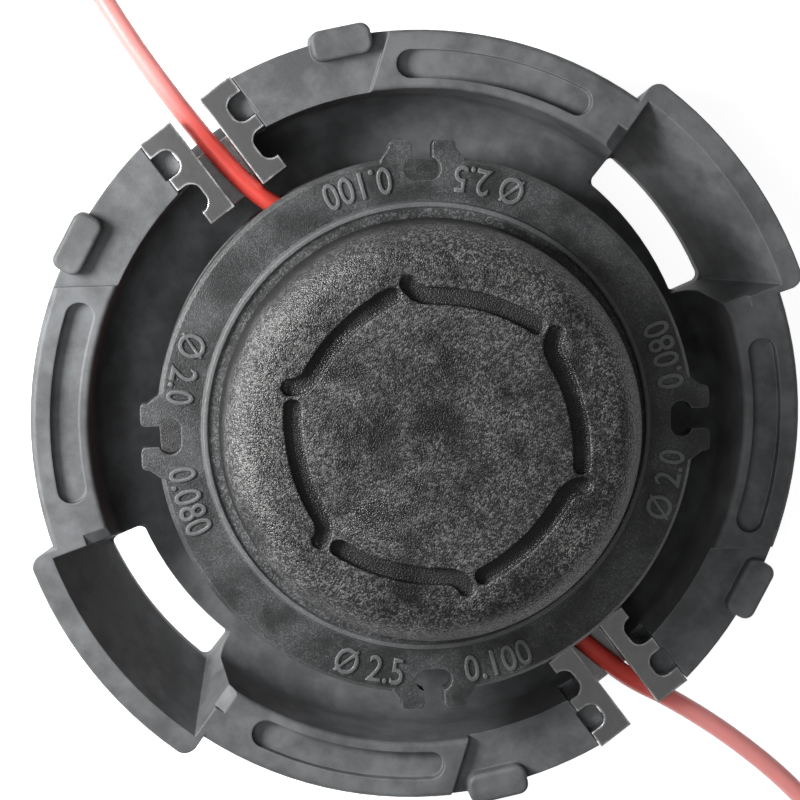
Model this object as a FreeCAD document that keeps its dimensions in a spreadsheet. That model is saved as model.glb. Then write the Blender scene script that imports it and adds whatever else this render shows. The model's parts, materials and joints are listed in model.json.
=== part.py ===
"""Two-line bump feed trimmer head, seen from the knob side with its cover off.

Millimetres, +Z up with the knob on top.  The head stands on the face of its
drive hub at z = 0, centred on its axis.  Line eyelet a lies towards +X and
eyelet b towards -X; the two latch wings lie towards +Y and -Y.
"""
import FreeCAD, Part
import Sketcher
import math
import os

DIMENSIONS = {
    # housing, from the hub face up to the rim
    "hub_height": 10.0,
    "floor_wall": 2.5,
    "cup_depth": 16.5,
    "hub_radius": 19.5,
    "hub_wall": 2.5,
    "well_radius": 30.0,
    "cup_radius": 44.3,
    "cup_draft": 1.0,
    "bowl_round": 6.0,
    "side_wall": 3.4,
    "rim_radius": 52.0,
    "rim_height": 5.0,
    "rim_round": 0.7,
    "rib_wall": 2.0,
    "gusset_drop": 6.0,
    # post in the middle of the cup, with the drive nut in its foot
    "post_radius": 10.0,
    "post_cap": 8.0,
    "nut_flats": 14.0,
    "nut_length": 12.0,
    "nut_recess": 0.5,
    "thread_bore": 4.46,
    "thread_relief": 0.6,
    "shaft_bore": 5.3,
    # latch wings and their windows
    "wing_radius": 55.5,
    "wing_wall": 3.0,
    "wing_half_angle": 18.2,
    "wing_side_angle": 1.1,
    "wing_round": 1.8,
    "wing_foot_radius": 45.6,
    "shoulder_angle": 1.8,
    "shoulder_drop": 1.6,
    "window_radius": 40.6,
    "window_half_angle": 13.9,
    "window_round": 1.1,
    # rim details
    "lug_angle": 25.2,
    "lug_width": 8.2,
    "lug_depth": 4.1,
    "lug_reach": 1.4,
    "lug_rise": 0.8,
    "lug_corner": 1.4,
    "lug_round": 0.6,
    "shelf_drop": 1.5,
    "shelf_inner_angle": 28.5,
    "shelf_end_angle": 32.5,
    "recess_angle": 49.5,
    "recess_half_angle": 14.0,
    "recess_radius": 47.5,
    "recess_width": 3.8,
    "recess_depth": 1.6,
    # drive stops on the floor of the well, dogs on the spool
    "dog_radius": 27.0,
    "dog_depth": 5.0,
    "dog_width": 4.0,
    "dog_height": 3.0,
    # line eyelets
    "eyelet_gap": 4.8,
    "eyelet_plate": 1.2,
    "eyelet_side": 2.2,
    "eyelet_finger": 1.9,
    "eyelet_inset": 0.4,
    "eyelet_inner": 37.8,
    "eyelet_outer": 51.8,
    "eyelet_height": 6.8,
    "eyelet_ear": 2.9,
    "eyelet_ear_height": 2.2,
    "eyelet_arm": 2.6,
    "eyelet_toe": 1.7,
    "eyelet_scoop": 1.9,
    "ear_pocket": 1.4,
    "slot_depth": 12.0,
    "slot_flare": 0.7,
    # spool
    "flange_radius": 35.4,
    "flange_wall": 3.0,
    "flange_rise": 9.0,
    "flange_chamfer": 0.5,
    "lower_flange_radius": 35.0,
    "lower_flange_wall": 2.0,
    "chamber_width": 14.0,
    "drum_radius": 18.0,
    "drum_bore": 13.2,
    "web_wall": 3.0,
    "seat_depth": 3.5,
    "seat_radius": 15.8,
    "ridge_radius": 29.1,
    "ridge_width": 1.0,
    "ridge_height": 0.5,
    "notch_turn": -35.8,
    "notch_mouth": 2.7,
    "notch_width": 4.8,
    "notch_depth": 2.9,
    "notch_bottom": 32.2,
    "tab_width": 3.0,
    "tab_radius": 37.4,
    "tab_spread": 1.1,
    "tab_round": 0.7,
    # bump knob
    "knob_radius": 27.4,
    "knob_draft": 0.8,
    "knob_height": 11.5,
    "knob_crown": 0.5,
    "knob_wall": 3.0,
    "knob_round": 4.5,
    "groove_turn": -19.1,
    "groove_start": 18.8,
    "groove_heading": 9.6,
    "groove_bow": 25.0,
    "groove_sweep": 33.0,
    "hook_radius": 3.0,
    "hook_sweep": 62.0,
    "groove_width": 2.2,
    "groove_depth": 1.6,
    # spring and washer
    "wire": 1.6,
    "coil_radius": 11.5,
    "coil_turns": 6.0,
    "washer_wall": 1.2,
    "washer_radius": 12.8,
    # trimmer line
    "line_diameter": 2.7,
    "line_layers": 3.0,
    "line_turns": 5.0,
    "line_lift": 1.7,
    # fits
    "running_gap": 0.25,
    "seat_gap": 0.1,
    "bump_travel": 5.5,
    "bump_gap": 1.0,
}

KNOB_GROOVES = 6
DRIVE_DOGS = 8
HUB_RIBS = 8
LINE_NOTCHES = 4
EYELET_TURNS = {"a": 0, "b": 180}
WING_TURNS = (90, 270)
SPRING_CORNERS = 12
OVERLAP = 1.0       # how far a cutting or joining solid runs past the face it meets
NEAR = 0.01         # how close an edge lies to the place that names it
ARC_SHARE = 0.45    # share of a straight run that the arc at each of its ends takes
POCKET_SHARE = 0.6  # share of the way from an eyelet's finger to its end that lies before the ear

doc = FreeCAD.newDocument("trimmer_head")
sheet = doc.addObject("Spreadsheet::Sheet", "Sizes")
for row, (alias, number) in enumerate(DIMENSIONS.items(), start=1):
    sheet.set(f"A{row}", alias)
    sheet.set(f"B{row}", str(number))
    sheet.setAlias(f"B{row}", alias)
doc.recompute()


class Size:
    """A length or angle together with the sheet expression that gives it."""

    def __init__(self, value, text=None):
        self.value = float(value)
        self.text = text or f"({float(value):.6f})"

    @staticmethod
    def of(thing):
        return thing if isinstance(thing, Size) else Size(thing)

    def __add__(self, other):
        other = Size.of(other)
        return Size(self.value + other.value, f"({self.text} + {other.text})")

    def __sub__(self, other):
        other = Size.of(other)
        return Size(self.value - other.value, f"({self.text} - {other.text})")

    def __mul__(self, other):
        other = Size.of(other)
        return Size(self.value * other.value, f"({self.text} * {other.text})")

    def __truediv__(self, other):
        other = Size.of(other)
        return Size(self.value / other.value, f"({self.text} / {other.text})")

    def __radd__(self, other):
        return Size.of(other) + self

    def __rsub__(self, other):
        return Size.of(other) - self

    def __rmul__(self, other):
        return Size.of(other) * self

    def __neg__(self):
        return 0 - self


def cell(alias):
    return Size(sheet.get(alias), f"Sizes.{alias}")


def cosine(angle):
    angle = Size.of(angle)
    return Size(math.cos(math.radians(angle.value)), f"cos({angle.text} * 1 deg)")


def sine(angle):
    angle = Size.of(angle)
    return Size(math.sin(math.radians(angle.value)), f"sin({angle.text} * 1 deg)")


def lesser(first, second):
    return Size(min(first.value, second.value), f"min({first.text}; {second.text})")


def bind(item, **sizes):
    """Tie properties of an object to sheet expressions."""
    for name, size in sizes.items():
        item.setExpression(name, Size.of(size).text)
    return item


def place(item, x=0, y=0, z=0, turn=0):
    """Tie an object's place, and its turn about Z, to sheet expressions."""
    for name, size in (("Base.x", x), ("Base.y", y), ("Base.z", z), ("Rotation.Angle", turn)):
        item.setExpression(f"Placement.{name}", Size.of(size).text)
    return item


def cylinder(name, radius, height, z=0, x=0, y=0, turn=0, angle=360):
    item = doc.addObject("Part::Cylinder", name)
    bind(item, Radius=radius, Height=height, Angle=angle)
    return place(item, x, y, z, turn)


def cone(name, foot, top, height, z, turn=0, angle=360):
    item = doc.addObject("Part::Cone", name)
    bind(item, Radius1=foot, Radius2=top, Height=height, Angle=angle)
    return place(item, 0, 0, z, turn)


def box(name, length, width, height, x, y, z):
    """A box whose x is its near face and whose y is its middle, on the axis of a feature."""
    item = doc.addObject("Part::Box", name)
    bind(item, Length=length, Width=width, Height=height)
    return place(item, x, y - Size.of(width) / 2, z)


def turned(name, item, angle):
    """A copy of an object turned about the axis of the head."""
    copy = doc.addObject("Part::Compound", name)
    copy.Links = [item]
    return place(copy, turn=angle)


def fused(name, items):
    item = doc.addObject("Part::MultiFuse", name)
    item.Shapes = items
    item.Refine = True
    return item


def cut(name, base, tool):
    item = doc.addObject("Part::Cut", name)
    item.Base = base
    item.Tool = tool
    item.Refine = True
    return item


def ring_sector(name, inner, outer, z, height, middle, half):
    """A stretch of a flat ring, given by its middle angle and half its sweep."""
    whole = cylinder(f"{name}_outer", outer, height, z, turn=middle - Size.of(half), angle=2 * Size.of(half))
    core = cylinder(f"{name}_core", inner, height, z)
    return cut(name, whole, core)


def origin_part(body, role):
    return next(part for part in body.Origin.OriginFeatures if part.Role == role)


def new_body(name):
    return doc.addObject("PartDesign::Body", name)


def outline(body, name, role, points, lift=None):
    """A closed sketch of straight lines, each corner tied to sheet expressions."""
    sketch = body.newObject("Sketcher::SketchObject", name)
    sketch.AttachmentSupport = (origin_part(body, role), [""])
    sketch.MapMode = "FlatFace"
    if lift is not None:
        sketch.setExpression("AttachmentOffset.Base.z", Size.of(lift).text)
    corners = [(Size.of(across), Size.of(up)) for across, up in points]
    for (ax, ay), (bx, by) in zip(corners, corners[1:] + corners[:1]):
        start = FreeCAD.Vector(ax.value, ay.value, 0)
        sketch.addGeometry(Part.LineSegment(start, FreeCAD.Vector(bx.value, by.value, 0)), False)
    for index, (across, up) in enumerate(corners):
        following = (index + 1) % len(corners)
        sketch.addConstraint(Sketcher.Constraint("Coincident", index, 2, following, 1))
        for kind, size in (("DistanceX", across), ("DistanceY", up)):
            number = sketch.addConstraint(Sketcher.Constraint(kind, -1, 1, index, 1, size.value))
            sketch.setExpression(f"Constraints[{number}]", size.text)
    return sketch


def revolved(body, name, points):
    """Turn an outline of (radius, height) corners about the axis of the head."""
    sketch = outline(body, f"{name}_outline", "XZ_Plane", points)
    feature = body.newObject("PartDesign::Revolution", name)
    feature.Profile = sketch
    feature.ReferenceAxis = (sketch, ["V_Axis"])
    feature.Angle = 360
    return feature


def padded(body, name, role, points, length, lift=None, middle=False):
    feature = body.newObject("PartDesign::Pad", name)
    feature.Profile = outline(body, f"{name}_outline", role, points, lift)
    bind(feature, Length=length)
    feature.Midplane = middle
    return feature


def patterned(body, name, feature, count):
    """Repeat a feature evenly round the axis of the head."""
    pattern = body.newObject("PartDesign::PolarPattern", name)
    pattern.Originals = [feature]
    pattern.Axis = (origin_part(body, "Z_Axis"), [""])
    pattern.Angle = 360
    pattern.Occurrences = count
    body.Tip = pattern
    return pattern


def edges_rounded(body, name, base, edges, radius):
    """Round the named edges of the feature last added to a body."""
    feature = body.newObject("PartDesign::Fillet", name)
    feature.Base = (base, edges)
    bind(feature, Radius=radius)
    body.Tip = feature
    return feature


def round_edges(feature, places):
    """Names of a turned feature's round edges, each given by its radius and height."""
    doc.recompute()
    names = []
    for index, edge in enumerate(feature.Shape.Edges, start=1):
        for radius, height in places:
            if isinstance(edge.Curve, Part.Circle) and abs(edge.Curve.Radius - radius.value) < NEAR \
                    and abs(edge.Curve.Center.z - height.value) < NEAR:
                names.append(f"Edge{index}")
    return names


def upright_edges(shape, places):
    """Numbers of a shape's upright edges, each given by its place seen from above."""
    numbers = []
    for index, edge in enumerate(shape.Edges, start=1):
        room = edge.BoundBox
        for x, y in places:
            if room.XLength + room.YLength < NEAR and abs(room.XMin - Size.of(x).value) < NEAR \
                    and abs(room.YMin - Size.of(y).value) < NEAR:
                numbers.append(index)
    return numbers


def rounded(name, base, edges, radius):
    """Round the numbered edges of a solid."""
    item = doc.addObject("Part::Fillet", name)
    item.Base = base
    item.Edges = [(index, radius.value, radius.value) for index in edges]
    return item


def solid_feature(name, shape):
    item = doc.addObject("Part::Feature", name)
    item.Shape = shape
    return item


def tube(points, diameter):
    """A round bar along a route of straight runs joined by tangent arcs, with the route's length."""
    edges = []
    start = points[0]
    for before, corner, after in zip(points, points[1:], points[2:]):
        run_in = before - corner
        run_out = after - corner
        reach = ARC_SHARE * min(run_in.Length, run_out.Length)
        half_turn = (math.pi - run_in.getAngle(run_out)) / 2
        radius = reach / math.tan(half_turn)
        first = corner + FreeCAD.Vector(run_in).normalize() * reach
        last = corner + FreeCAD.Vector(run_out).normalize() * reach
        inward = (FreeCAD.Vector(run_in).normalize() + FreeCAD.Vector(run_out).normalize()).normalize()
        middle = corner + inward * (radius / math.cos(half_turn) - radius)
        edges.append(Part.LineSegment(start, first).toShape())
        edges.append(Part.Arc(first, middle, last).toShape())
        start = last
    edges.append(Part.LineSegment(start, points[-1]).toShape())
    path = Part.Wire(edges)
    section = Part.makeCircle(diameter / 2, points[0], points[1] - points[0])
    return path.makePipeShell([Part.Wire([section])], True, False), path.Length


# Heights up the axis that the pieces share.  The spool's dogs stop just short of the floor of the
# well when the knob is bumped, and the rim stands where it leaves the flange its rise.
well_under = cell("hub_height")
well_top = well_under + cell("floor_wall")
lower_flange_under = well_top + cell("bump_gap") + cell("bump_travel") + cell("dog_height")
lower_flange_top = lower_flange_under + cell("lower_flange_wall")
flange_under = lower_flange_top + cell("chamber_width")
flange_top = flange_under + cell("flange_wall")
rim_top = flange_top - cell("flange_rise")
floor_top = rim_top - cell("cup_depth")
floor_under = floor_top - cell("floor_wall")
shelf_top = rim_top - cell("shelf_drop")
seat_floor = flange_top - cell("seat_depth")
web_under = seat_floor - cell("web_wall")
knob_top = flange_top + cell("knob_height")
knob_ceiling = knob_top - cell("knob_wall")
post_top = knob_ceiling - cell("bump_travel") - cell("bump_gap")
eyelet_under = shelf_top - cell("eyelet_height")
eyelet_floor = eyelet_under + cell("eyelet_plate")

# Radii of the outside of the cup's wall
wall_outer = cell("cup_radius") + cell("side_wall")
wall_foot = wall_outer - cell("cup_draft")

# Lines of an eyelet seen from above: the back of its side plate, the finger that is let into the cup's
# wall, and the ear that covers the outer part of the rim
eyelet_back = cell("eyelet_gap") / 2 + cell("eyelet_side")
finger_inner = cell("cup_radius") - cell("eyelet_inset")
finger_outer = finger_inner + cell("eyelet_finger")
ear_start = finger_outer + (lesser(cell("eyelet_outer"), cell("rim_radius")) - finger_outer) * POCKET_SHARE


def housing_shell():
    """The moulded cup turned about its axis, with its hub, post and ribs."""
    body = new_body("housing_shell")
    hub_inner = cell("hub_radius") - cell("hub_wall")
    well_outer = cell("well_radius") + cell("floor_wall")
    floor_middle = well_under + cell("floor_wall") / 2
    shaft_top = post_top - cell("post_cap")
    cup = revolved(body, "cup", [
        (0, shaft_top), (0, post_top),
        (cell("post_radius"), post_top), (cell("post_radius"), well_top),
        (cell("well_radius"), well_top), (cell("well_radius"), floor_top),
        (cell("cup_radius") - cell("cup_draft"), floor_top), (cell("cup_radius"), rim_top),
        (cell("rim_radius"), rim_top), (cell("rim_radius"), rim_top - cell("rim_height")),
        (wall_outer, rim_top - cell("rim_height")), (wall_foot, floor_under),
        (well_outer, floor_under), (cell("well_radius"), well_under),
        (cell("hub_radius"), well_under), (cell("hub_radius"), 0),
        (hub_inner, 0), (hub_inner, well_under),
        (cell("post_radius"), well_under), (cell("post_radius"), 0),
        (cell("shaft_bore"), 0), (cell("shaft_bore"), shaft_top),
    ])
    corner = round_edges(cup, [(cell("cup_radius") - cell("cup_draft"), floor_top)])
    bowl = edges_rounded(body, "bowl", cup, corner, cell("bowl_round"))
    brims = round_edges(bowl, [(cell("cup_radius"), rim_top), (cell("rim_radius"), rim_top)])
    edges_rounded(body, "rim_edges", bowl, brims, cell("rim_round"))
    spoke = padded(body, "hub_spoke", "XZ_Plane", [
        (cell("post_radius") - OVERLAP, cell("hub_wall")), (hub_inner + OVERLAP, cell("hub_wall")),
        (hub_inner + OVERLAP, floor_middle), (cell("post_radius") - OVERLAP, floor_middle),
    ], cell("rib_wall"), middle=True)
    patterned(body, "hub_spokes", spoke, HUB_RIBS)
    gusset = padded(body, "gusset", "XZ_Plane", [
        (cell("hub_radius") - OVERLAP, well_under - cell("gusset_drop")),
        (cell("hub_radius"), well_under - cell("gusset_drop")), (cell("well_radius"), well_under),
        (cell("well_radius"), floor_middle), (cell("hub_radius") - OVERLAP, floor_middle),
    ], cell("rib_wall"), middle=True)
    patterned(body, "gussets", gusset, HUB_RIBS)
    return body


def wing(number, angle):
    """A latch wing standing out of the rim: the solid to add and the pocket to take away."""
    half = cell("wing_half_angle")
    inner_half = half - cell("wing_side_angle")
    foot = cell("wing_foot_radius") + cell("wing_wall")
    height = rim_top - floor_under
    solid = cone(f"wing_{number}_outer", foot, cell("wing_radius"), height, floor_under,
                 angle - half, 2 * half)
    core = cylinder(f"wing_{number}_core", cell("cup_radius"), height, floor_under)
    pocket_top = cell("wing_radius") - cell("wing_wall")
    pocket = flared_sector(f"wing_{number}_pocket", angle, rim_top + OVERLAP,
                           (floor_top, cell("wing_foot_radius"), cell("window_half_angle")),
                           (rim_top, pocket_top, inner_half))
    shoulder_foot = rim_top - cell("shoulder_drop")
    shoulder = flared_sector(f"wing_{number}_shoulder", angle, rim_top + OVERLAP,
                             (shoulder_foot, wall_outer, inner_half - cell("shoulder_angle") / 2),
                             (rim_top, wall_outer, inner_half + cell("shoulder_angle")))
    opening = ring_sector(f"window_{number}_sharp", cell("window_radius"), cell("wing_foot_radius"),
                          floor_under - OVERLAP, cell("floor_wall") + 2 * OVERLAP, angle,
                          cell("window_half_angle"))
    shell = cut(f"wing_{number}_shell", solid, core)
    doc.recompute()
    ends = [(angle + side * cell("window_half_angle")) for side in (-1, 1)]
    corners = upright_edges(opening.Shape, [
        (radius * cosine(end), radius * sine(end))
        for radius in (cell("window_radius"), cell("wing_foot_radius")) for end in ends
    ])
    window = rounded(f"window_{number}", opening, corners, cell("window_round"))
    outer_edges = [
        index for index, edge in enumerate(shell.Shape.Edges, start=1)
        if isinstance(edge.Curve, Part.Line) and edge.BoundBox.ZLength > cell("cup_depth").value
        and min(math.hypot(vertex.X, vertex.Y) for vertex in edge.Vertexes) > foot.value - NEAR
    ]
    return rounded(f"wing_{number}", shell, outer_edges, cell("wing_round")), [pocket, shoulder, window]


def flared_sector(name, middle, top, low, high):
    """A stretch of a ring outside the window's inner edge that widens upwards.

    The height, outer radius and half sweep are given at two levels, and the stretch runs on up to the top.
    """
    run_on = (top - low[0]) / (high[0] - low[0])
    levels = [low, [below + (above - below) * run_on for below, above in zip(low, high)]]
    wires = []
    for height, outer, half in levels:
        turns = [math.radians(middle + side * half.value) for side in (-1, 0, 1)]
        rays = [FreeCAD.Vector(math.cos(turn), math.sin(turn), 0) for turn in turns]
        lift = FreeCAD.Vector(0, 0, height.value)
        near = [ray * cell("window_radius").value + lift for ray in rays]
        far = [ray * outer.value + lift for ray in rays]
        wires.append(Part.Wire([
            Part.Arc(*far).toShape(), Part.LineSegment(far[2], near[2]).toShape(),
            Part.Arc(*near[::-1]).toShape(), Part.LineSegment(near[0], far[0]).toShape(),
        ]))
    return solid_feature(name, Part.makeLoft(wires, True, True))


def lug(number, angle):
    """A rounded catch that stands on the outer edge of the rim."""
    outer = cell("rim_radius") + cell("lug_reach")
    top = rim_top + cell("lug_rise")
    foot = rim_top - cell("rim_height")
    block = box(f"lug_{number}_block", cell("lug_depth"), cell("lug_width"), top - foot,
                outer - cell("lug_depth"), 0, foot)
    doc.recompute()
    corners = upright_edges(block.Shape, [(x, side * cell("lug_width") / 2) for side in (-1, 1)
                                          for x in (outer, outer - cell("lug_depth"))])
    upright = rounded(f"lug_{number}_corners", block, corners, cell("lug_corner"))
    doc.recompute()
    brim = [index for index, edge in enumerate(upright.Shape.Edges, start=1)
            if edge.BoundBox.ZMin > top.value - NEAR]
    return turned(f"lug_{number}", rounded(f"lug_{number}_catch", upright, brim, cell("lug_round")), angle)


def rim_recess(number, angle):
    """A shallow kidney-shaped recess in the face of the rim."""
    middle = cell("recess_radius")
    reach = cell("recess_width") / 2
    half = cell("recess_half_angle")
    height = cell("recess_depth") + OVERLAP
    foot = rim_top - cell("recess_depth")
    parts = [ring_sector(f"recess_{number}_run", middle - reach, middle + reach, foot, height, angle, half)]
    for end, side in (("first", -1), ("last", 1)):
        at = angle + side * half
        parts.append(cylinder(f"recess_{number}_{end}", reach, height, foot,
                              middle * cosine(at), middle * sine(at)))
    return fused(f"recess_{number}", parts)


def eyelet_slot(name, angle):
    """Room in the rim for a line eyelet: the slot down the wall and the seats of its fingers and ears."""
    gap = cell("seat_gap")
    rim_end = cell("rim_radius") + OVERLAP
    top = rim_top + OVERLAP
    slot_foot = rim_top - cell("slot_depth")
    finger_foot = eyelet_under - gap
    ear_foot = shelf_top - cell("eyelet_ear_height") - gap
    slot_side = eyelet_back + gap
    inside = cell("cup_radius") - cell("bowl_round")

    def room(part, start, end, side, foot):
        return box(f"{part}_{name}", end - start, 2 * side, top - foot, start, 0, foot)

    parts = [
        room("slot", cell("eyelet_inner"), rim_end, slot_side, slot_foot),
        room("mouth", ear_start, rim_end, slot_side + cell("slot_flare"), slot_foot),
        room("finger_seat", inside, finger_outer + gap, eyelet_back + cell("eyelet_arm") + gap, finger_foot),
        room("ear_seat", finger_outer, rim_end, eyelet_back + cell("eyelet_ear") + gap, ear_foot),
    ]
    return turned(f"eyelet_room_{name}", fused(f"eyelet_cut_{name}", parts), angle)


def rim_shelves(name, angle):
    """The lowered stretches of the rim on both sides of an eyelet, with slanted ends just past the lugs."""
    body = new_body(f"shelf_{name}")
    inner_x = cell("cup_radius") * cosine(cell("shelf_inner_angle"))
    inner_y = cell("cup_radius") * sine(cell("shelf_inner_angle"))
    outer_x = cell("rim_radius") * cosine(cell("shelf_end_angle"))
    outer_y = cell("rim_radius") * sine(cell("shelf_end_angle"))
    start_x = inner_x - (outer_x - inner_x) / 2
    start_y = inner_y - (outer_y - inner_y) / 2
    end_x = outer_x + (outer_x - inner_x) / 2
    end_y = outer_y + (outer_y - inner_y) / 2
    rim_end = cell("rim_radius") + OVERLAP
    padded(body, f"shelf_room_{name}", "XY_Plane", [
        (start_x, -start_y), (end_x, -end_y), (rim_end, -end_y),
        (rim_end, end_y), (end_x, end_y), (start_x, start_y),
    ], cell("shelf_drop") + OVERLAP, lift=shelf_top)
    return place(body, turn=angle)


def floor_stops():
    """Stops on the floor of the well, half a step from the spool's dogs."""
    body = new_body("floor_stops")
    block = dog_block(body, "stop", well_top - OVERLAP, cell("dog_height") + OVERLAP)
    patterned(body, "stops", block, DRIVE_DOGS)
    return turned("floor_stop_ring", body, 180 / DRIVE_DOGS)


def dog_block(body, name, foot, height):
    inner = cell("dog_radius") - cell("dog_depth")
    half = cell("dog_width") / 2
    return padded(body, name, "XY_Plane", [
        (inner, -half), (cell("dog_radius"), -half), (cell("dog_radius"), half), (inner, half),
    ], height, lift=foot)


def hexagon(body, name, flats, foot, height):
    corner = flats / (2 * cosine(30))
    points = [(corner * cosine(60 * step), corner * sine(60 * step)) for step in range(6)]
    return padded(body, name, "XY_Plane", points, height, lift=foot)


def nut_room():
    """The six-sided pocket in the foot of the post."""
    body = new_body("nut_room")
    flats = cell("nut_flats") + 2 * cell("seat_gap")
    hexagon(body, "nut_pocket", flats, -OVERLAP, cell("nut_length") + cell("nut_recess") + OVERLAP)
    return body


def make_housing():
    joined = [housing_shell(), floor_stops()]
    removed = [nut_room()]
    for number, angle in enumerate(WING_TURNS, start=1):
        solid, hollow = wing(number, angle)
        joined.append(solid)
        removed += hollow
    lugs = []
    for name, angle in EYELET_TURNS.items():
        removed += [eyelet_slot(name, angle), rim_shelves(name, angle)]
        for side, mark in ((1, "left"), (-1, "right")):
            lugs.append(lug(f"{name}_{mark}", angle + side * cell("lug_angle")))
            removed.append(rim_recess(f"{name}_{mark}", angle + side * cell("recess_angle")))
    hollowed = fused("housing_joined", joined)
    for tool in removed:
        hollowed = cut(f"housing_less_{tool.Name}", hollowed, tool)
    return fused("housing", [hollowed] + lugs)


def make_drive_nut():
    """Six-sided threaded insert, open at the hub face."""
    body = new_body("drive_nut")
    hexagon(body, "nut_hexagon", cell("nut_flats"), cell("nut_recess"), cell("nut_length"))
    bore = body.newObject("PartDesign::Groove", "nut_bore")
    top = cell("nut_recess") + cell("nut_length")
    wide = cell("thread_bore") + cell("thread_relief")
    bore.Profile = outline(body, "nut_bore_outline", "XZ_Plane", [
        (0, 0), (wide, 0), (wide, cell("nut_recess")),
        (cell("thread_bore"), cell("nut_recess") + cell("thread_relief")),
        (cell("thread_bore"), top + OVERLAP), (0, top + OVERLAP),
    ])
    bore.ReferenceAxis = (bore.Profile[0], ["V_Axis"])
    bore.Angle = 360
    return body


def make_eyelet(name, angle):
    """Plated line guide: a channel whose sides have a toe, a finger let into the wall and a flat ear."""
    body = new_body(f"line_eyelet_{name}")
    inner = cell("eyelet_inner")
    toe = inner + cell("eyelet_finger")
    outer = cell("eyelet_outer")
    near = cell("eyelet_gap") / 2
    back = eyelet_back
    ear_side = back + cell("eyelet_ear")
    arm_side = back + cell("eyelet_arm")
    toe_side = back + cell("eyelet_toe")
    side = padded(body, f"side_{name}", "XY_Plane", [
        (inner, near), (finger_outer, near), (finger_outer, arm_side), (finger_inner, arm_side),
        (finger_inner, back), (toe, back), (toe, toe_side), (inner, toe_side),
    ], cell("eyelet_height"), lift=eyelet_under)
    doc.recompute()
    corners = upright_edges(side.Shape, [(finger_inner, back), (toe, back)])
    scoop_room = lesser(finger_inner - toe, 2 * cell("eyelet_toe")) * ARC_SHARE
    scoop = edges_rounded(body, f"scoop_{name}", side, [f"Edge{number}" for number in corners],
                          lesser(cell("eyelet_scoop"), scoop_room))
    ear = padded(body, f"ear_{name}", "XY_Plane", [
        (finger_inner, near), (outer, near), (outer, ear_side), (ear_start, ear_side),
        (ear_start, back), (finger_inner, back),
    ], cell("eyelet_ear_height"), lift=shelf_top - cell("eyelet_ear_height"))
    doc.recompute()
    corners = upright_edges(ear.Shape, [(finger_outer, back), (ear_start, back)])
    pocket_room = (ear_start - finger_outer) * ARC_SHARE
    pocket = edges_rounded(body, f"ear_pocket_{name}", ear, [f"Edge{number}" for number in corners],
                           lesser(cell("ear_pocket"), pocket_room))
    doc.recompute()
    other = body.newObject("PartDesign::Mirrored", f"sides_{name}")
    other.Originals = [side, scoop, ear, pocket]
    other.MirrorPlane = (origin_part(body, "XZ_Plane"), [""])
    body.Tip = other
    padded(body, f"channel_floor_{name}", "XY_Plane", [
        (inner, -back), (finger_outer, -back), (finger_outer, back), (inner, back),
    ], cell("eyelet_plate"), lift=eyelet_under)
    return place(body, turn=angle)


def make_spool():
    """Moulded spool: drum, two flanges, the knob's seat, line notches and drive dogs."""
    body = new_body("spool_turned")
    ridge = cell("ridge_width") / 2
    bore = cell("post_radius") + cell("running_gap")
    flange = cell("flange_radius")
    chamfer = cell("flange_chamfer")
    revolved(body, "spool_section", [
        (bore, web_under), (bore, seat_floor),
        (cell("seat_radius"), seat_floor), (cell("seat_radius"), flange_top),
        (cell("ridge_radius") - ridge, flange_top),
        (cell("ridge_radius") - ridge / 2, flange_top + cell("ridge_height")),
        (cell("ridge_radius") + ridge / 2, flange_top + cell("ridge_height")),
        (cell("ridge_radius") + ridge, flange_top),
        (flange - chamfer, flange_top), (flange, flange_top - chamfer), (flange, flange_under),
        (cell("drum_radius"), flange_under), (cell("drum_radius"), lower_flange_top),
        (cell("lower_flange_radius"), lower_flange_top), (cell("lower_flange_radius"), lower_flange_under),
        (cell("drum_bore"), lower_flange_under), (cell("drum_bore"), web_under),
    ])
    dog = dog_block(body, "dog", lower_flange_under - cell("dog_height"),
                    cell("dog_height") + cell("lower_flange_wall"))
    patterned(body, "dogs", dog, DRIVE_DOGS)
    pair = fused("tab_pair", [line_tab("near", -1), line_tab("far", 1)])
    gap = line_notch()
    turns = [cell("notch_turn") + number * 360 / LINE_NOTCHES for number in range(LINE_NOTCHES)]
    tabs = [turned(f"tabs_{number}", pair, turn) for number, turn in enumerate(turns)]
    gaps = [turned(f"notch_{number}", gap, turn) for number, turn in enumerate(turns)]
    return cut("spool", fused("spool_with_tabs", [body] + tabs), fused("line_notches", gaps))


def line_tab(mark, side):
    """A tab that stands out of the flange's edge beside a notch, spread at the root and round at the end."""
    body = new_body(f"tab_{mark}_block")
    end = cell("tab_radius")
    neck = (cell("flange_radius") + end) / 2
    root = cell("flange_radius") - cell("tab_width")
    shoulder = cell("flange_radius") - cell("flange_chamfer")
    mouth = side * cell("notch_mouth") / 2
    back = mouth + side * cell("tab_width")
    spread = back + side * cell("tab_spread")
    padded(body, f"tab_{mark}_outline", "XY_Plane", [
        (root, mouth), (end, mouth), (end, back), (neck, back), (shoulder, spread), (root, spread),
    ], cell("flange_wall"), lift=flange_under)
    doc.recompute()
    corners = upright_edges(body.Shape, [(end, mouth), (end, back)])
    return rounded(f"tab_{mark}", body, corners, cell("tab_round"))


def line_notch():
    """A keyhole notch in the flange, open between two tabs."""
    height = cell("flange_wall") + 2 * OVERLAP
    foot = flange_under - OVERLAP
    mouth = box("notch_way", cell("tab_radius") - cell("notch_bottom"), cell("notch_mouth"), height,
                cell("notch_bottom") + OVERLAP, 0, foot)
    radius = cell("notch_depth") / 2
    middle = cell("notch_bottom") + radius
    aside = cell("notch_width") / 2 - radius
    pocket = box("notch_pocket", cell("notch_depth"), 2 * aside, height, cell("notch_bottom"), 0, foot)
    parts = [mouth, pocket]
    for mark, side in (("near", -1), ("far", 1)):
        parts.append(cylinder(f"notch_{mark}_end", radius, height, foot, middle, side * aside))
    return fused("notch_shape", parts)


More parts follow.
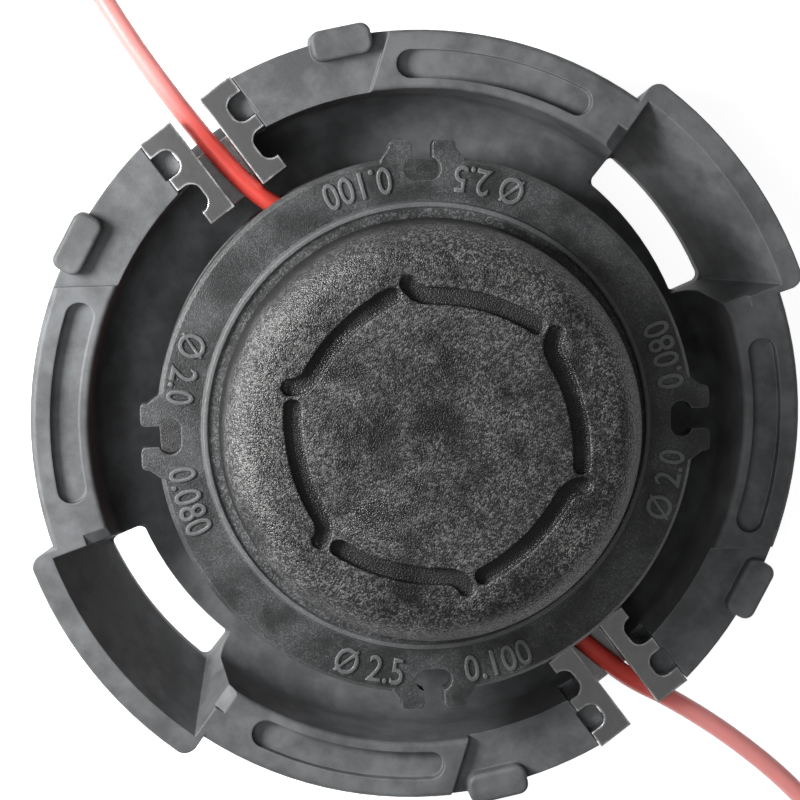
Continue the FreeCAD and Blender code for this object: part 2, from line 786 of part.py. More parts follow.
def groove_tool():
    """One hooked wear groove seen from above: a bowed run, then a hook the other way, with round ends."""
    half = cell("groove_width").value / 2
    bow = cell("groove_bow").value
    hook = cell("hook_radius").value
    heading = math.radians(90 + cell("groove_heading").value)
    sweep = math.radians(cell("groove_sweep").value)
    turn = math.radians(cell("hook_sweep").value)

    def along(angle, length):
        return FreeCAD.Vector(math.cos(angle), math.sin(angle), 0) * length

    right = math.pi / 2
    bow_middle = FreeCAD.Vector(cell("groove_start").value, 0, 0) + along(heading + right, bow)
    joint = heading + sweep
    hook_middle = bow_middle + along(joint - right, bow + hook)

    def bow_edge(radius, backwards=False):
        angles = [heading - right, heading + sweep / 2 - right, joint - right]
        points = [bow_middle + along(angle, radius) for angle in angles]
        return Part.Arc(*(points[::-1] if backwards else points)).toShape()

    def hook_edge(radius, backwards=False):
        angles = [joint + right, joint + right - turn / 2, joint + right - turn]
        points = [hook_middle + along(angle, radius) for angle in angles]
        return Part.Arc(*(points[::-1] if backwards else points)).toShape()

    tail = bow_middle + along(heading - right, bow)
    tip = hook_middle + along(joint + right - turn, hook)
    tip_end = Part.Arc(tip + along(joint - turn - right, half), tip + along(joint - turn, half),
                       tip + along(joint - turn + right, half)).toShape()
    tail_end = Part.Arc(tail + along(heading + right, half), tail - along(heading, half),
                        tail + along(heading - right, half)).toShape()
    face = Part.Face(Part.Wire([
        bow_edge(bow + half), hook_edge(hook - half), tip_end,
        hook_edge(hook + half, True), bow_edge(bow - half, True), tail_end,
    ]))
    face.translate(FreeCAD.Vector(0, 0, knob_top.value - cell("groove_depth").value))
    return face.extrude(FreeCAD.Vector(0, 0, cell("groove_depth").value + OVERLAP))


def make_knob():
    """Hollow bump knob with a rounded edge, a spigot in the spool's seat and hooked grooves."""
    body = new_body("knob_turned")
    spigot = cell("seat_radius") - cell("seat_gap")
    inner = cell("knob_radius") - cell("knob_wall")
    shoulder = knob_top - cell("knob_crown")
    section = revolved(body, "knob_section", [
        (0, knob_ceiling), (0, knob_top), (cell("knob_radius") - cell("knob_draft"), shoulder),
        (cell("knob_radius"), flange_top), (inner, flange_top), (inner - cell("knob_draft"), knob_ceiling),
        (spigot + cell("knob_draft"), knob_ceiling), (spigot, flange_top), (spigot, seat_floor),
        (cell("drum_bore"), seat_floor), (cell("drum_bore"), knob_ceiling),
    ])
    brim = round_edges(section, [(cell("knob_radius") - cell("knob_draft"), shoulder)])
    edges_rounded(body, "knob_edge", section, brim, cell("knob_round"))
    grooves = []
    shape = groove_tool()
    for number in range(KNOB_GROOVES):
        groove = solid_feature(f"groove_{number}", shape)
        grooves.append(place(groove, turn=cell("groove_turn") + number * 360 / KNOB_GROOVES))
    return cut("bump_knob", body, fused("wear_grooves", grooves))


def make_washer():
    body = new_body("thrust_washer")
    inner = cell("post_radius") + 2 * cell("running_gap")
    foot = web_under - cell("washer_wall")
    revolved(body, "washer_section", [
        (inner, foot), (cell("washer_radius"), foot), (cell("washer_radius"), web_under), (inner, web_under),
    ])
    return body


def make_spring():
    """Compression spring round the post, from the floor of the well to the washer, its end turns closed."""
    wire = cell("wire").value
    turns = cell("coil_turns").value
    closed = wire + 2 * cell("seat_gap").value
    foot = well_top.value + wire / 2
    head = (web_under - cell("washer_wall")).value - wire / 2
    pitch = (head - foot - 2 * closed) / (turns - 2)
    corner_radius = cell("coil_radius").value / math.cos(math.pi / SPRING_CORNERS)
    points = []
    for step in range(round(turns * SPRING_CORNERS) + 1):
        turn = step / SPRING_CORNERS
        height = foot + closed * min(turn, 1) + pitch * min(max(turn - 1, 0), turns - 2)
        height += closed * max(turn - turns + 1, 0)
        x = corner_radius * math.cos(2 * math.pi * turn)
        y = corner_radius * math.sin(2 * math.pi * turn)
        points.append(FreeCAD.Vector(x, y, height))
    return solid_feature("spring", tube(points, wire)[0])


def make_winding():
    """The wound line, with the turns of its outer layer standing out as rounds."""
    gap = cell("seat_gap").value
    radius = cell("line_diameter").value / 2
    turns = int(cell("line_turns").value)
    inner = cell("drum_radius").value + gap
    low = lower_flange_top.value + gap
    high = flange_under.value - gap
    crown = inner + cell("line_layers").value * 2 * radius
    pitch = (high - low) / turns
    edges = []

    def at(across, up):
        return FreeCAD.Vector(across, 0, up)

    valley = crown - radius / 2
    for step in range(turns):
        foot = low + step * pitch
        arc = Part.Arc(at(valley, foot), at(crown, foot + pitch / 2), at(valley, foot + pitch))
        edges.append(arc.toShape())
    for start, end in ((at(valley, high), at(inner, high)), (at(inner, high), at(inner, low)),
                       (at(inner, low), at(valley, low))):
        edges.append(Part.LineSegment(start, end).toShape())
    face = Part.Face(Part.Wire(edges))
    return solid_feature("line_winding", face.revolve(at(0, 0), at(0, 1), 360))


# Routes of the two line ends, from the winding out through the eyelets, as seen from above.
# Each point is (x, y, height above the middle of the eyelet's channel).
LINE_ROUTES = {
    "a": [(26.4, -8.9, 0), (29.4, -5.4, 0), (34.3, -1.75, 0), (41.0, -0.25, 0), (51.0, 0.25, 0),
          (62.5, 0.15, -0.2), (75.0, -1.0, -0.6), (87.0, -3.6, -1.2), (98.0, -7.4, -2.0)],
    "b": [(-26.4, 8.9, 0), (-29.4, 5.4, 0), (-34.3, 1.75, 0), (-41.0, 0.3, 0), (-47.6, -1.3, 0),
          (-53.5, -4.3, 0), (-62.5, -7.6, -0.2), (-73.0, -10.2, -0.6), (-83.5, -11.2, -1.2),
          (-93.8, -11.0, -2.0)],
}


def make_tail(name):
    """A free line end, from the winding out through its eyelet."""
    level = (eyelet_floor + cell("line_lift")).value
    points = [FreeCAD.Vector(x, y, level + z) for x, y, z in LINE_ROUTES[name]]
    line, length = tube(points, cell("line_diameter").value)
    print(f"line tail {name}: length {length:.1f} mm")
    return solid_feature(f"line_tail_{name}", line)


def make_all():
    pieces = [make_housing(), make_drive_nut(), make_spool(), make_knob()]
    pieces += [make_washer(), make_spring(), make_winding()]
    for name, angle in EYELET_TURNS.items():
        pieces.append(make_eyelet(name, angle))
        pieces.append(make_tail(name))
    return pieces


def check_document():
    doc.recompute()
    broken = [item.Label for item in doc.Objects if {"Invalid", "Error"} & set(item.State)]
    if broken:
        raise RuntimeError(f"failed objects: {broken}")


def write(pieces):
    os.makedirs("parts", exist_ok=True)
    for piece in pieces:
        if piece.Shape.isNull() or not piece.Shape.isValid():
            raise RuntimeError(f"bad shape: {piece.Label}")
        print(f"{piece.Label}: {len(piece.Shape.Solids)} solid, {piece.Shape.Volume:.1f} mm3")
    for piece in pieces:
        piece.Shape.exportStep(f"parts/{piece.Label}.step")


nodes = make_all()
check_document()
write(nodes)
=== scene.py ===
"""Bump feed trimmer head: the finish of its pieces, its line, gauge marks, light and camera.

Metres, in the part's own frame: +Z towards the knob, +X through line eyelet a.
"""
import json
import math

import bpy
from mathutils import Matrix, Vector


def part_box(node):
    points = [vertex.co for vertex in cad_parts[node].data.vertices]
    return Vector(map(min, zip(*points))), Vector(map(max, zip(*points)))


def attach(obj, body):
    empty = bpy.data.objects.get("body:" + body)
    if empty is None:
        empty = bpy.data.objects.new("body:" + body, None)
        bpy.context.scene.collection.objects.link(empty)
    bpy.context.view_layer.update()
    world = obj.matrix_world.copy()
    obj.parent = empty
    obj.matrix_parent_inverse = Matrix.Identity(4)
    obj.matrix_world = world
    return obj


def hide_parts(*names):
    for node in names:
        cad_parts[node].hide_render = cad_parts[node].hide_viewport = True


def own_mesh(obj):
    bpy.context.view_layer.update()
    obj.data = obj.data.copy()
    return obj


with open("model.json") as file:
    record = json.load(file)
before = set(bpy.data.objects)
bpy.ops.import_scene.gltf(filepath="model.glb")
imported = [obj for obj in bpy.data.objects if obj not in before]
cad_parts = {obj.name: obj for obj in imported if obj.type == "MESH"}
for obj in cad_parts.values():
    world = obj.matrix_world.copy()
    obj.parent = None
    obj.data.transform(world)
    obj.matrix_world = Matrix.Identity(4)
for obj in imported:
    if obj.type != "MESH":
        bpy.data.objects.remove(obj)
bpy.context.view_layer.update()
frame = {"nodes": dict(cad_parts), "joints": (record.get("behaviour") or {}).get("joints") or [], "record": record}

MM = 0.001

# camera, as the photograph was taken: a long lens a little off the axis, on eyelet a's side
CAMERA_PLACE = Vector((0.0493, 0.0067, 0.3508))
CAMERA_AIM = Vector((0.00388, 0.00061, 0.032))
CAMERA_UP = Vector((0.7867, -0.6091, -0.1004))
LENS = 108
SENSOR = 36

# light: a low soft lamp on the left of the view, a weaker one near the camera, and a dim sky;
# each lamp is (place, size, power, whether it shows in reflections)
FLOOR_SIZE = 4.0
LAMPS = {
    "key": (Vector((0.134, 0.102, 0.150)), 0.07, 0.73, True),
    "top": (Vector((0.040, 0.100, 0.310)), 0.14, 0.31, False),
}
SKY_LOW = 0.09
SKY_HIGH = 0.16
FLOOR_GLOW = 0.88

# heights and travel that the frame gives
JOINTS = {joint["name"]: joint for joint in frame["joints"]}
MOUNTS = {mount["name"]: mount for mount in frame["record"]["mounts"]}
BUMP_TRAVEL = -JOINTS["bump"]["range_m"][0]
WELL_TOP = JOINTS["bump"]["deforming_nodes"][0]["fixed_end_z_m"]
THREAD_BORE = MOUNTS["drive_thread"]["dims"]["r_mm"] * MM
NUT_FOOT, NUT_TOP = (corner.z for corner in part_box("drive_nut"))
WINDING_FOOT, WINDING_TOP = (corner.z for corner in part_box("line_winding"))
WASHER_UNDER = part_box("thrust_washer")[0].z
KNOB_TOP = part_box("bump_knob")[1].z

# spool: the ridge on its flange, and the radius of the drum
RIDGE = 29.1 * MM
RIDGE_TALL = 0.5 * MM
FLANGE_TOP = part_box("spool")[1].z - RIDGE_TALL
DRUM = 18.0 * MM

# knob: the radii between which its shoulder is painted paler, as a painted highlight, the depths below its top
# between which its painted glints fade out on its side, as painted shade, and its wear grooves
SHEEN_START = 19 * MM
SHEEN_FULL = 26 * MM
SIDE_SHADE_START = 3 * MM
SIDE_SHADE_FULL = 9 * MM
GROOVE_DEPTH = 1.6 * MM
GROOVE_REACH = 20 * MM

# rounding of sharp edges, and the angles that tell flat joins, smooth faces and edges apart
EYELET_EDGE = 0.35 * MM
KNOB_EDGE = 0.2 * MM
FLAT_ANGLE = math.radians(1)
SMOOTH_ANGLE = math.radians(35)
EDGE_ANGLE = math.radians(40)

# gauge marks on the flange, beside the line notches: numbers with their tops towards the axis
NOTCHES = 4
NOTCH_TURN = -35.8
NOTCH_HALF = 2.4 * MM
GAUGE_NUMBERS = (("\u00d8 2.5", "0.100"), ("\u00d8 2.0", "0.080"))
GAUGE_FOOT = 34.3 * MM
GAUGE_TALL = 3.5 * MM
GAUGE_NARROW = 0.88
GAUGE_RAISE = 0.22 * MM
GAUGE_SUNK = 0.1 * MM
GAUGE_GAP = 1.9 * MM
GAUGE_BEVEL = 0.04 * MM

# spring, winding and drive thread
WIRE = 1.6 * MM
COIL_RADIUS = 11.5 * MM
COIL_TURNS = 6
COIL_CLOSED = 1.8 * MM
TURN_POINTS = 12
WINDING_LAYERS = 3
WINDING_TURNS = 5
SEAT_GAP = 0.1 * MM
THREAD_PITCH = 1.0 * MM
THREAD_DEPTH = 0.32 * MM
THREAD_PROFILE = ((0.1, -0.45), (-1.0, 0.0), (0.1, 0.45))     # shares of the depth and of the pitch
THREAD_STEPS = 32

# trimmer line: the two routes of the part's source, (x, y, height above the channel's middle)
LINE = 2.7 * MM
CHANNEL_MIDDLE = 26.6
LINE_ROUTES = {
    "a": [(26.4, -8.9, 0), (29.4, -5.4, 0), (34.3, -1.75, 0), (41.0, -0.25, 0), (51.0, 0.25, 0),
          (62.5, 0.15, -0.2), (75.0, -1.0, -0.6), (87.0, -3.6, -1.2), (98.0, -7.4, -2.0)],
    "b": [(-26.4, 8.9, 0), (-29.4, 5.4, 0), (-34.3, 1.75, 0), (-41.0, 0.3, 0), (-47.6, -1.3, 0),
          (-53.5, -4.3, 0), (-62.5, -7.6, -0.2), (-73.0, -10.2, -0.6), (-83.5, -11.2, -1.2),
          (-93.8, -11.0, -2.0)],
}
LINE_SHADED = 46 * MM
LINE_FREE = 60 * MM


class Wire:
    """A node's socket that Python's operators can work on."""

    def __init__(self, look, socket):
        self.look = look
        self.socket = socket

    def math(self, operation, first, second):
        return self.look.add("ShaderNodeMath", {"operation": operation}, {0: first, 1: second})

    def __add__(self, other):
        return self.math("ADD", self, other)

    def __sub__(self, other):
        return self.math("SUBTRACT", self, other)

    def __rsub__(self, other):
        return self.math("SUBTRACT", other, self)

    def __mul__(self, other):
        return self.math("MULTIPLY", self, other)

    __radd__ = __add__
    __rmul__ = __mul__


class Look:
    """The nodes of a material or of the world, with one method that adds any node."""

    def __init__(self, owner, shader="Principled BSDF"):
        owner.use_nodes = True
        self.owner = owner
        self.tree = owner.node_tree
        self.shader = self.tree.nodes[shader]

    def add(self, kind, settings=None, inputs=None, output=0):
        node = self.tree.nodes.new(kind)
        for key, value in (settings or {}).items():
            setattr(node, key, value)
        for key, value in (inputs or {}).items():
            self.feed(node.inputs[key], value)
        return Wire(self, node.outputs[output])

    def feed(self, socket, value):
        if isinstance(value, Wire):
            self.tree.links.new(value.socket, socket)
        else:
            socket.default_value = value

    def finish(self, **values):
        """Feeds the shader's sockets, named with underscores for spaces."""
        for key, value in values.items():
            self.feed(self.shader.inputs[key.replace("_", " ")], value)
        return self.owner

    def place(self):
        """The point on the piece, in the part's frame."""
        return self.add("ShaderNodeTexCoord", output="Object")

    def noise(self, size, detail=3, rough=0.5):
        """Noise whose grains are about that size."""
        return self.add("ShaderNodeTexNoise", None, {
            "Vector": self.place(), "Scale": 1 / size, "Detail": detail, "Roughness": rough})

    def grains(self, size, output):
        """Packed grains of that size: their own random Color, or the Distance from their middles."""
        return self.add("ShaderNodeTexVoronoi", None, {
            "Vector": self.place(), "Scale": 1 / size}, output)

    def step(self, value, low, high):
        """0 at low, 1 at high and smooth between; low may be the greater."""
        return self.add("ShaderNodeMapRange", {"interpolation_type": "SMOOTHSTEP"}, {
            "Value": value, "From Min": low, "From Max": high})

    def mix(self, share, first, second):
        return self.add("ShaderNodeMix", {"data_type": "RGBA"}, {0: share, 6: first, 7: second}, 2)

    def round_edges(self, radius):
        return self.add("ShaderNodeBevel", {"samples": 6}, {"Radius": radius})

    def edges(self, radius):
        """1 along the piece's edges and corners, 0 on its faces."""
        normal = self.add("ShaderNodeNewGeometry", output="True Normal")
        flat = self.add("ShaderNodeVectorMath", {"operation": "DOT_PRODUCT"},
                        {0: self.round_edges(radius), 1: normal}, "Value")
        return self.step(1 - flat, 0.02, 0.25)

    def height(self):
        return self.add("ShaderNodeSeparateXYZ", None, {0: self.place()}, "Z")

    def radius(self):
        """Distance from the head's axis."""
        apart = self.add("ShaderNodeVectorMath", {"operation": "MULTIPLY"},
                         {0: self.place(), 1: (1, 1, 0)})
        return self.add("ShaderNodeVectorMath", {"operation": "LENGTH"}, {0: apart}, "Value")

    def bump(self, height, depth, normal=None):
        inputs = {"Height": height, "Distance": depth, "Strength": 1.0}
        if normal:
            inputs["Normal"] = normal
        return self.add("ShaderNodeBump", None, inputs)


def new_finish(name):
    """The nodes of a new material."""
    return Look(bpy.data.materials.new(name))


def grey(level, tint=0.0):
    """A grey that leans to blue as tint grows."""
    return (level * (1 - tint), level, level * (1 + tint), 1)


def housing_plastic():
    """Satin black moulding: fine spark grain, cloudy handling marks, and pale edges that are partly scuffed wear
    and partly a painted edge highlight.
    """
    look = new_finish("housing_plastic")
    grain = look.noise(0.16 * MM, 2, 0.6)
    cloud = look.noise(11 * MM, 5, 0.6)
    smear = look.noise(3.5 * MM, 4, 0.65)
    scuff = look.step(look.noise(1.6 * MM, 5, 0.7), 0.58, 0.72)
    edge = look.edges(0.45 * MM)
    mottle = look.step(0.55 * cloud + 0.45 * smear, 0.36, 0.66)
    colour = look.mix(mottle, grey(0.066, 0.03), grey(0.145, 0.04))
    colour = look.mix(0.25 * (grain - 0.3), colour, grey(0.27, 0.03))
    # pale edges: scuffed wear in places, and a painted edge highlight all along
    colour = look.mix(edge * (0.3 + 0.5 * scuff), colour, grey(0.30, 0.03))
    return look.finish(
        Base_Color=colour, Roughness=0.50 + 0.14 * cloud - 0.12 * scuff,
        Normal=look.bump(grain, 0.035 * MM, look.round_edges(0.35 * MM)), Specular_IOR_Level=0.5)


def spool_plastic():
    """Black moulding with a fine sandy grain, coarser inside the ridge, with painted sparkle, and painted
    highlights where it is proud and along its edges.
    """
    look = new_finish("spool_plastic")
    inside = look.step(look.radius(), RIDGE + 0.4 * MM, RIDGE - 0.4 * MM)
    cloud = look.step(look.noise(6 * MM, 4, 0.6), 0.35, 0.65)
    sand = look.grains(0.14 * MM, "Color")
    coarse = look.grains(0.21 * MM, "Color")
    # painted sparkle: pale grain specks painted into the colour as glints, more of them inside the ridge
    painted_sparkle = look.step(sand + inside * (coarse - sand), 0.52, 0.86)
    painted_sparkle = painted_sparkle * (0.08 + 0.24 * cloud + 0.22 * inside)
    # painted highlight on what stands proud of the flange: the ridge and the numbers
    painted_sheen = look.step(look.height(), FLANGE_TOP + 0.04 * MM, FLANGE_TOP + 0.18 * MM)
    edge = look.edges(0.35 * MM)
    colour = look.mix(cloud, grey(0.020, 0.03), grey(0.042, 0.03))
    colour = look.mix(painted_sparkle, colour, grey(0.24, 0.02))
    colour = look.mix(0.3 * painted_sheen, colour, grey(0.26, 0.02))
    # painted edge highlight: edges painted paler
    colour = look.mix(0.5 * edge, colour, grey(0.26, 0.02))
    relief = look.bump(1 - look.grains(0.14 * MM, "Distance"), 0.05 * MM, look.round_edges(0.3 * MM))
    return look.finish(
        Base_Color=colour, Roughness=0.30 + 0.14 * cloud, Normal=relief, Specular_IOR_Level=0.7)


def knob_plastic():
    """Black moulding with a sandy grain in patches, with painted glints, a painted highlight on its shoulder, and
    painted shade on its lower side and in its grooves.
    """
    look = new_finish("knob_plastic")
    patch = look.step(look.noise(8 * MM, 5, 0.65), 0.36, 0.62)
    clump = look.noise(0.7 * MM, 3, 0.6)
    sand = look.grains(0.21 * MM, "Color")
    # painted highlight: more painted glints towards the knob's shoulder
    painted_sheen = look.step(look.radius(), SHEEN_START, SHEEN_FULL)
    # painted shade: the painted glints fade out down the knob's side
    lit_crown = look.step(look.height(), KNOB_TOP - SIDE_SHADE_FULL, KNOB_TOP - SIDE_SHADE_START)
    floor = KNOB_TOP - GROOVE_DEPTH
    # painted shade: no painted glints on the groove floors, so they read dark
    groove_shade = look.step(look.height(), floor + 0.5 * MM, floor + 0.1 * MM)
    groove_shade = groove_shade * look.step(look.radius(), GROOVE_REACH + 0.5 * MM, GROOVE_REACH - 0.5 * MM)
    edge = look.edges(0.5 * MM)
    # painted glints: pale grain specks painted into the colour, more of them in patches, on the shoulder and on
    # the crown
    painted_glints = look.step(0.7 * sand + 0.5 * clump, 0.52, 0.84) * (0.06 + 0.5 * patch + 0.16 * painted_sheen) * lit_crown
    colour = look.mix(patch, grey(0.005, -0.01), grey(0.014, -0.01))
    colour = look.mix(painted_glints * (1 - groove_shade), colour, grey(0.21, -0.01))
    # painted edge highlight: edges painted paler
    colour = look.mix(0.15 * edge, colour, grey(0.18))
    relief = look.bump(1 - look.grains(0.21 * MM, "Distance"), 0.09 * MM, look.round_edges(0.3 * MM))
    return look.finish(
        Base_Color=colour, Roughness=0.34 + 0.12 * patch, Normal=relief, Specular_IOR_Level=0.7)


def bright_plating(name, level, rough):
    """Zinc plating: a cloudy face with a fine grain, and edges painted pale in places as a painted highlight."""
    look = new_finish(name)
    haze = look.noise(2.4 * MM, 4, 0.65)
    grain = look.noise(0.2 * MM, 3)
    edge = look.edges(0.7 * MM)
    colour = look.mix(haze, grey(level * 1.1), grey(level * 0.7))
    # painted highlight: edges painted pale and less metallic, more so in places
    painted_gleam = edge * (0.3 + 0.7 * look.step(haze, 0.42, 0.58))
    colour = look.mix(painted_gleam, colour, grey(min(1, level * 2.2)))
    return look.finish(
        Base_Color=colour, Metallic=1 - 0.6 * painted_gleam, Roughness=rough + 0.16 * haze + 0.12 * edge,
        Normal=look.bump(grain, 0.012 * MM, look.round_edges(0.25 * MM)))


def trimmer_line():
    """Red extruded nylon, paler where the light comes through its free ends."""
    look = new_finish("trimmer_line")
    free = look.step(look.radius(), LINE_SHADED, LINE_FREE)
    haze = look.noise(5 * MM, 3)
    streak = look.noise(0.5 * MM, 3)
    colour = look.mix(haze, (0.62, 0.060, 0.045, 1), (0.74, 0.085, 0.065, 1))
    # painted light: the free ends are painted paler, as if light shone through them
    colour = look.mix(free * 0.85, colour, (1.0, 0.42, 0.40, 1))
    return look.finish(
        Base_Color=colour, Roughness=0.24 + 0.16 * streak, Normal=look.bump(streak, 0.02 * MM),
        Subsurface_Weight=0.3, Subsurface_Radius=(1.0, 0.12, 0.1), Subsurface_Scale=1.5 * MM,
        Transmission_Weight=0.25)


def floor_finish():
    """Pale floor that is white to the camera and in reflections, and keeps the object's shadow."""
    look = new_finish("floor")
    seen = look.add("ShaderNodeLightPath", output="Is Camera Ray")
    mirrored = look.add("ShaderNodeLightPath", output="Is Glossy Ray")
    through = look.add("ShaderNodeLightPath", output="Is Transmission Ray")
    glow = look.mix(seen + mirrored + through, (0, 0, 0, 1), grey(FLOOR_GLOW))
    return look.finish(Base_Color=(0.8, 0.8, 0.8, 1), Roughness=0.9, Specular_IOR_Level=0.1,
                       Emission_Color=glow, Emission_Strength=1.0)


def deselect():
    bpy.ops.object.select_all(action="DESELECT")


def active(name, material):
    """Names and finishes the piece that was just added."""
    piece = bpy.context.object
    piece.name = name
    piece.data.name = name
    piece.data.materials.clear()
    piece.data.materials.append(material)
    return piece


def round_curve(name, points, thick, order, steps, sides):
    """A round bar along points, with that many steps from point to point and facets on half its side."""
    curve = bpy.data.curves.new(name, "CURVE")
    curve.dimensions = "3D"
    curve.bevel_depth = thick / 2
    curve.bevel_resolution = sides
    curve.resolution_u = steps
    curve.use_fill_caps = True
    spline = curve.splines.new("NURBS")
    spline.points.add(len(points) - 1)
    for point, spot in zip(spline.points, points):
        point.co = (*spot, 1)
    spline.order_u = order
    spline.use_endpoint_u = True
    piece = bpy.data.objects.new(name, curve)
    bpy.context.scene.collection.objects.link(piece)
    return piece


def line_tail(name, material):
    """One end of the line, as a smooth curve through its eyelet."""
    route = [Vector((x, y, CHANNEL_MIDDLE + rise)) * MM for x, y, rise in LINE_ROUTES[name]]
    piece = round_curve(f"line_end_{name}", route, LINE, order=3, steps=12, sides=6)
    piece.data.materials.append(material)
    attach(piece, "housing")
    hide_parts(f"line_tail_{name}")


def round_bar(name, points, thick, material, body):
    """A round bar along points, as a mesh that rides on a body."""
    deselect()
    bar = round_curve(name, points, thick, order=4, steps=4, sides=4)
    bpy.context.view_layer.objects.active = bar
    bar.select_set(True)
    bpy.ops.object.convert(target="MESH")
    piece = active(name, material)
    bpy.ops.object.shade_smooth()
    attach(piece, body)
    return piece


def round_axis(radius, turn, height):
    """The point at that radius, turn and height about the head's axis."""
    return Vector((radius * math.cos(turn), radius * math.sin(turn), height))


def spring(material):
    """The bump spring with closed end turns."""
    foot = WELL_TOP + WIRE / 2
    head = WASHER_UNDER - WIRE / 2
    pitch = (head - foot - 2 * COIL_CLOSED) / (COIL_TURNS - 2)
    points = []
    for step in range(COIL_TURNS * TURN_POINTS + 1):
        turn = step / TURN_POINTS
        height = foot + COIL_CLOSED * min(turn, 1) + pitch * min(max(turn - 1, 0), COIL_TURNS - 2)
        height += COIL_CLOSED * max(turn - COIL_TURNS + 1, 0)
        points.append(round_axis(COIL_RADIUS, math.tau * turn, height))
    piece = round_bar("bump_spring", points, WIRE, material, "housing")
    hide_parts("spring")
    length = WASHER_UNDER - WELL_TOP
    (length - BUMP_TRAVEL) / length
    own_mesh(piece)


def winding(material):
    """The line on the spool, wound up and down the drum in layers."""
    low = WINDING_FOOT + LINE / 2
    high = WINDING_TOP - LINE / 2
    points = []
    for layer in range(WINDING_LAYERS):
        radius = DRUM + SEAT_GAP + LINE * (layer + 0.5)
        for step in range(WINDING_TURNS * TURN_POINTS):
            share = step / (WINDING_TURNS * TURN_POINTS - 1)
            height = low + (high - low) * (share if layer % 2 == 0 else 1 - share)
            points.append(round_axis(radius, math.tau * step / TURN_POINTS, height))
    piece = round_bar("wound_line", points, LINE, material, "spool")
    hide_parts("line_winding")


def drive_thread(material):
    """The left-handed thread ridge in the bore of the drive nut."""
    deselect()
    bpy.ops.mesh.primitive_circle_add(vertices=len(THREAD_PROFILE), radius=THREAD_DEPTH, location=(0, 0, 0))
    ridge = active("drive_thread", material)
    top = NUT_TOP - THREAD_PITCH
    for corner, (reach, rise) in zip(ridge.data.vertices, THREAD_PROFILE):
        corner.co = (THREAD_BORE + reach * THREAD_DEPTH, 0, top + rise * THREAD_PITCH)
    turns = round((NUT_TOP - NUT_FOOT) / THREAD_PITCH) - 2
    coil = ridge.modifiers.new("thread", "SCREW")
    coil.axis = "Z"
    coil.angle = math.tau * turns
    coil.screw_offset = -THREAD_PITCH * turns
    coil.steps = THREAD_STEPS * turns
    coil.render_steps = coil.steps
    bpy.ops.object.modifier_apply(modifier="thread")
    bpy.ops.object.mode_set(mode="EDIT")
    bpy.ops.mesh.select_all(action="SELECT")
    bpy.ops.mesh.fill_holes(sides=len(THREAD_PROFILE))
    bpy.ops.mesh.normals_make_consistent(inside=False)
    bpy.ops.object.mode_set(mode="OBJECT")
    bpy.ops.object.shade_smooth_by_angle(angle=EDGE_ANGLE)
    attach(ridge, "housing")


def raised_numbers(name, words, material):
    """Flat raised numbers at the flange's height, from x = 0 to the right on the line y = 0."""
    deselect()
    bpy.ops.object.text_add(location=(0, 0, 0))
    letters = bpy.context.object.data
    letters.body = words
    letters.size = GAUGE_TALL
    letters.extrude = (GAUGE_RAISE + GAUGE_SUNK) / 2
    letters.bevel_depth = GAUGE_BEVEL
    letters.resolution_u = 4
    bpy.ops.object.convert(target="MESH")
    mark = active(name, material)
    corners = mark.data.vertices
    left = min(corner.co.x for corner in corners)
    scale = GAUGE_TALL / max(corner.co.y for corner in corners)
    for corner in corners:
        corner.co.x = (corner.co.x - left) * scale * GAUGE_NARROW
        corner.co.y *= scale
        corner.co.z += FLANGE_TOP + (GAUGE_RAISE - GAUGE_SUNK) / 2
    return mark


def gauge_marks(material):
    """Sizes on both sides of each line notch, bent along the flange with their tops to the axis."""
    marks = []
    for notch in range(NOTCHES):
        middle = math.radians(NOTCH_TURN + notch * 360 / NOTCHES)
        for words, side in zip(GAUGE_NUMBERS[notch % 2], ("before", "after")):
            mark = raised_numbers(f"gauge_{notch}_{side}", words, material)
            wide = max(corner.co.x for corner in mark.data.vertices)
            gap = NOTCH_HALF + GAUGE_GAP
            start = gap if side == "after" else -gap - wide
            for corner in mark.data.vertices:
                turn = middle + (start + corner.co.x) / GAUGE_FOOT
                corner.co = round_axis(GAUGE_FOOT - corner.co.y, turn, corner.co.z)
            marks.append(mark)
    deselect()
    for mark in marks:
        mark.select_set(True)
    bpy.context.view_layer.objects.active = marks[0]
    bpy.ops.object.join()
    piece = active("gauge_marks", material)
    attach(piece, "spool")


def softened(name, node, body, width, material):
    """A copy of a node with its sharp edges rounded, in the node's place."""
    deselect()
    piece = frame["nodes"][node].copy()
    piece.data = piece.data.copy()
    bpy.context.scene.collection.objects.link(piece)
    bpy.context.view_layer.objects.active = piece
    piece.select_set(True)
    bpy.ops.object.mode_set(mode="EDIT")
    bpy.ops.mesh.select_all(action="SELECT")
    bpy.ops.mesh.remove_doubles(threshold=0.001 * MM)
    bpy.ops.mesh.dissolve_limited(angle_limit=FLAT_ANGLE)
    bpy.ops.object.mode_set(mode="OBJECT")
    bpy.ops.object.shade_smooth_by_angle(angle=SMOOTH_ANGLE)
    rounding = piece.modifiers.new("rounding", "BEVEL")
    rounding.width = width
    rounding.segments = 3
    rounding.limit_method = "ANGLE"
    rounding.angle_limit = EDGE_ANGLE
    rounding.harden_normals = True
    bpy.ops.object.modifier_apply(modifier="rounding")
    active(name, material)
    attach(piece, body)
    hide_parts(node)


def studio():
    """Pale floor, the lamps aimed at the flange, the sky and the camera."""
    deselect()
    bpy.ops.mesh.primitive_plane_add(size=FLOOR_SIZE)
    active("floor", floor_finish())
    for name, (place, size, power, mirrored) in LAMPS.items():
        bpy.ops.object.light_add(type="AREA", location=place)
        lamp = bpy.context.object
        lamp.name = name
        lamp.data.size = size
        lamp.data.energy = power
        lamp.visible_camera = False
        lamp.visible_glossy = mirrored
        lamp.rotation_euler = (Vector((0, 0, FLANGE_TOP)) - place).to_track_quat("-Z", "Y").to_euler()
    sky()
    camera()


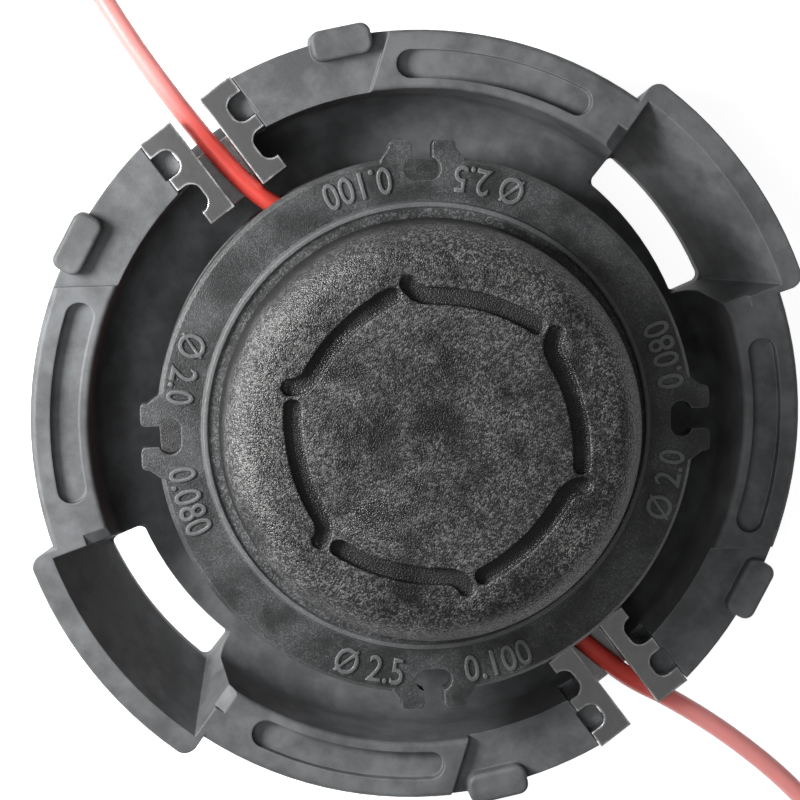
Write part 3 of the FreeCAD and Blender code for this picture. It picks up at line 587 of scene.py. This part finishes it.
def sky():
    """Dim round the horizon and paler overhead, and white where the camera sees it."""
    look = Look(bpy.data.worlds.new("studio"), "Background")
    way = look.add("ShaderNodeTexCoord", output="Generated")
    rise = look.add("ShaderNodeSeparateXYZ", None, {0: way}, "Z")
    fade = look.add("ShaderNodeMapRange", None, {"Value": rise, "To Min": SKY_LOW, "To Max": SKY_HIGH})
    seen = look.add("ShaderNodeLightPath", output="Is Camera Ray")
    bpy.context.scene.world = look.finish(Color=grey(1.0), Strength=fade + seen * (1 - fade))


def camera():
    """The camera, at the photograph's viewing angle."""
    data = bpy.data.cameras.new("camera")
    data.lens = LENS
    data.sensor_width = SENSOR
    item = bpy.data.objects.new("camera", data)
    bpy.context.scene.collection.objects.link(item)
    ahead = (CAMERA_AIM - CAMERA_PLACE).normalized()
    right = ahead.cross(CAMERA_UP).normalized()
    turn = Matrix((right, right.cross(ahead), -ahead)).transposed()
    item.location = CAMERA_PLACE
    item.rotation_euler = turn.to_euler()
    bpy.context.scene.camera = item


def dress(node, material):
    """Gives a node of the frame its finish."""
    piece = frame["nodes"][node]
    piece.data.materials.clear()
    piece.data.materials.append(material)


def finish_pieces():
    """Finishes every node, and adds the pieces that stand in for nodes or go on them."""
    plating = bright_plating("eyelet_plating", 0.62, 0.20)
    steel = bright_plating("nut_steel", 0.5, 0.28)
    line = trimmer_line()
    moulded = spool_plastic()
    knob = knob_plastic()
    finishes = {
        "housing": housing_plastic(), "spool": moulded, "bump_knob": knob,
        "line_eyelet_a": plating, "line_eyelet_b": plating, "drive_nut": steel, "thrust_washer": steel,
        "spring": steel, "line_winding": line, "line_tail_a": line, "line_tail_b": line,
    }
    for node, material in finishes.items():
        dress(node, material)
    for name in LINE_ROUTES:
        line_tail(name, line)
        softened(f"eyelet_{name}", f"line_eyelet_{name}", "housing", EYELET_EDGE, plating)
    softened("rounded_knob", "bump_knob", "spool", KNOB_EDGE, knob)
    gauge_marks(moulded)
    spring(steel)
    winding(line)
    drive_thread(steel)


finish_pieces()
studio()
bpy.context.scene.view_settings.view_transform = "Standard"
